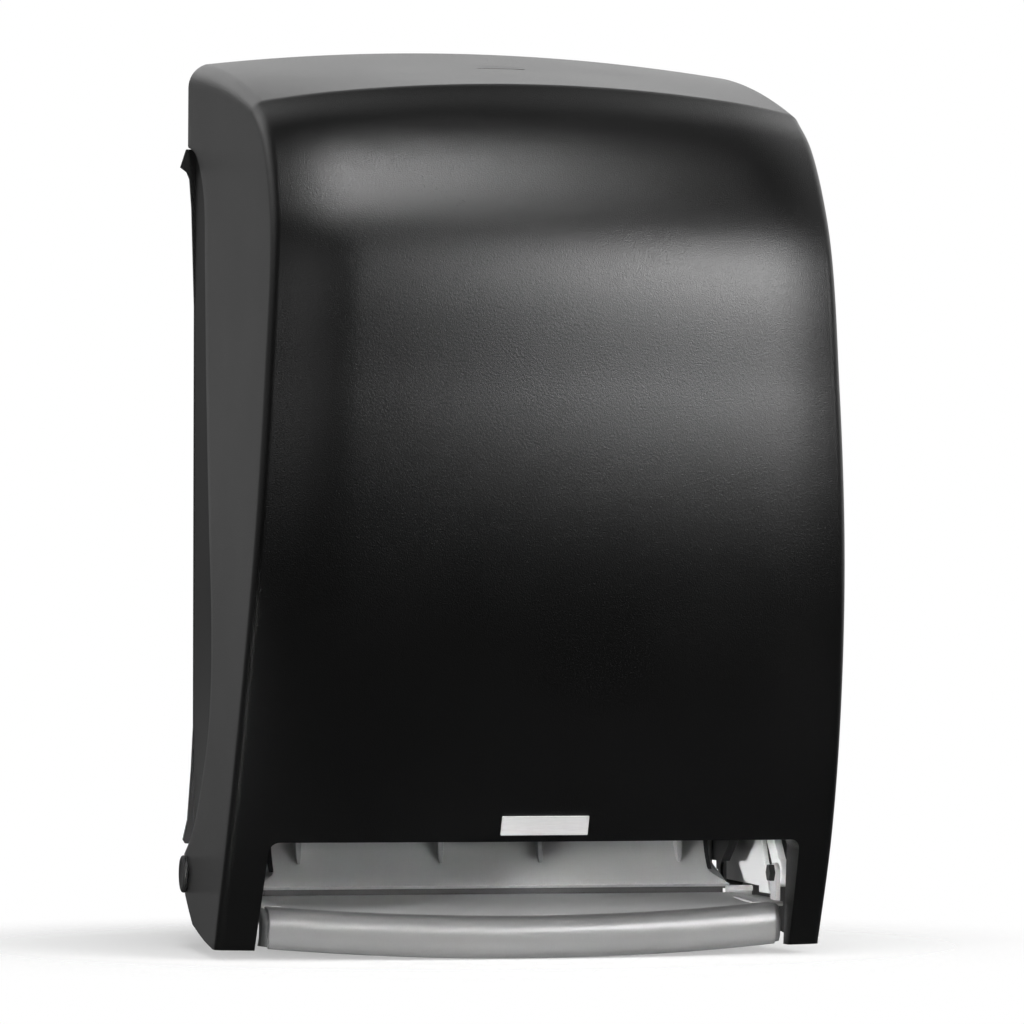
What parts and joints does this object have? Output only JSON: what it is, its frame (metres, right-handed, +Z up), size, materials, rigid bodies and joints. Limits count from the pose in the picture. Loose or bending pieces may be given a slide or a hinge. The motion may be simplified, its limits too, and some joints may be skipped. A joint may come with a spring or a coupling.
{
  "type": "sensor paper towel dispenser",
  "caption": "Wall-hung hands-free roll towel dispenser: bowed black hood hinged at its foot over a silver outlet scoop, with sprung roll arms, motor feed and battery box inside.",
  "frame": {"origin": "centre of the four wall screw holes, on the back face that lies against the wall", "axes": "+X to the viewer's right, +Y into the wall, +Z up; the front faces -Y"},
  "size_m": [0.3012, 0.227, 0.457],
  "materials": {
    "cover_black": "fine-grained satin black moulding",
    "frame_black": "plain matt black moulding",
    "dark_plastic": "matt dark grey moulding",
    "silver_plastic": "satin silver-grey moulding",
    "badge_metal": "bare satin plate",
    "light_plastic": "matt light grey moulding",
    "white_plastic": "natural white moulding",
    "bright_steel": "plain bright steel",
    "black_rubber": "soft matt rubber",
    "circuit_board": "green solder mask",
    "cell_wrap": "plain glossy wrap without print"
  },
  "bodies": {
    "chassis": {"wall_chassis": "frame_black", "latch_keeper": "bright_steel", "hinge_pin_left": "frame_black", "hinge_pin_right": "frame_black", "arm_pins": "bright_steel", "arm_spring_left": "bright_steel", "arm_spring_right": "bright_steel", "drive_frame": "frame_black", "shaft_bushings": "white_plastic", "pinch_springs": "bright_steel", "idler_stud": "bright_steel", "feed_motor": "bright_steel", "gear_cover": "frame_black", "paper_guide": "silver_plastic", "scoop_tray": "silver_plastic", "nose_bar": "silver_plastic", "tray_arm_left": "light_plastic", "tray_arm_right": "light_plastic", "side_panel_left": "white_plastic", "side_panel_right": "white_plastic", "tear_bar": "bright_steel", "sensor_board": "circuit_board", "tray_underside": "frame_black", "control_box": "dark_plastic", "control_board": "circuit_board", "battery_box": "dark_plastic", "battery_cells": "cell_wrap", "battery_contacts": "bright_steel", "door_pin": "bright_steel", "frame_screws": "bright_steel", "tray_screws": "frame_black", "cover_bumpers": "black_rubber"},
    "cover": {"front_cover": "cover_black", "badge_plate": "badge_metal", "latch_pin": "bright_steel", "latch_spring": "bright_steel"},
    "latch": {"latch_lever": "dark_plastic"},
    "arm_left": {"roll_arm_left": "dark_plastic"},
    "arm_right": {"roll_arm_right": "dark_plastic"},
    "hub_left": {"roll_hub_left": "white_plastic"},
    "hub_right": {"roll_hub_right": "white_plastic"},
    "drive_roller": {"drive_shaft": "bright_steel", "drive_sleeves": "black_rubber", "roller_gear": "white_plastic"},
    "pinch_carrier": {"pinch_carrier": "dark_plastic"},
    "pinch_roller": {"pinch_shaft": "bright_steel", "pinch_rollers": "white_plastic"},
    "idler": {"idler_gear": "white_plastic"},
    "pinion": {"motor_pinion": "bright_steel"},
    "feed_button": {"feed_button": "light_plastic"},
    "power_switch": {"power_switch": "light_plastic"},
    "battery_door": {"battery_door": "dark_plastic"}
  },
  "joints": [
    {"name": "cover_hinge", "type": "hinge", "parent": "chassis", "child": "cover", "pos_m": [0, -0.013, -0.195], "axis": [1, 0, 0], "range_deg": [0, 65]},
    {"name": "latch_turn", "type": "hinge", "parent": "cover", "child": "latch", "pos_m": [0, -0.07, 0.19087], "axis": [-1, 0, 0], "range_deg": [0, 18]},
    {"name": "right_arm_swing", "type": "hinge", "parent": "chassis", "child": "arm_right", "pos_m": [0.112, -0.016, 0.03], "axis": [0, 0, 1], "range_deg": [0, 10], "stiffness_Nm_per_rad": 0.6, "springref_deg": -5.73},
    {"name": "left_arm_swing", "type": "hinge", "parent": "chassis", "child": "arm_left", "pos_m": [-0.112, -0.016, 0.03], "axis": [0, 0, -1], "range_deg": [0, 10], "stiffness_Nm_per_rad": 0.6, "springref_deg": -5.73},
    {"name": "right_hub_spin", "type": "hinge", "parent": "arm_right", "child": "hub_right", "pos_m": [0.098, -0.115, 0.03], "axis": [1, 0, 0], "continuous": true},
    {"name": "left_hub_spin", "type": "hinge", "parent": "arm_left", "child": "hub_left", "pos_m": [-0.098, -0.115, 0.03], "axis": [1, 0, 0], "continuous": true},
    {"name": "drive_spin", "type": "hinge", "parent": "chassis", "child": "drive_roller", "pos_m": [0, -0.046, -0.15], "axis": [1, 0, 0], "continuous": true},
    {"name": "pinch_swing", "type": "hinge", "parent": "chassis", "child": "pinch_carrier", "pos_m": [0, -0.08, -0.116], "axis": [-1, 0, 0], "range_deg": [0, 5], "stiffness_Nm_per_rad": 0.4, "springref_deg": -5.73},
    {"name": "pinch_spin", "type": "hinge", "parent": "pinch_carrier", "child": "pinch_roller", "pos_m": [0, -0.0684, -0.15], "axis": [1, 0, 0], "continuous": true},
    {"name": "idler_spin", "type": "hinge", "parent": "chassis", "child": "idler", "pos_m": [0.128, -0.04136, -0.12819], "axis": [1, 0, 0], "continuous": true},
    {"name": "pinion_spin", "type": "hinge", "parent": "chassis", "child": "pinion", "pos_m": [0.126, -0.02616, -0.11188], "axis": [1, 0, 0], "continuous": true},
    {"name": "feed_button_press", "type": "slide", "parent": "chassis", "child": "feed_button", "axis": [0, 0, -1], "range_m": [0, 0.0015], "stiffness_N_per_m": 400, "springref_m": -0.001},
    {"name": "power_switch_slide", "type": "slide", "parent": "chassis", "child": "power_switch", "axis": [1, 0, 0], "range_m": [0, 0.005]},
    {"name": "battery_door_hinge", "type": "hinge", "parent": "chassis", "child": "battery_door", "pos_m": [0, -0.0946, -0.1294], "axis": [-1, 0, 0], "range_deg": [0, 85]}
  ],
  "couplings": [
    {"joint": "pinch_spin", "follows": "drive_spin", "ratio": -1.75},
    {"joint": "idler_spin", "follows": "drive_spin", "ratio": -2.1429},
    {"joint": "pinion_spin", "follows": "drive_spin", "ratio": 5.7143}
  ]
}
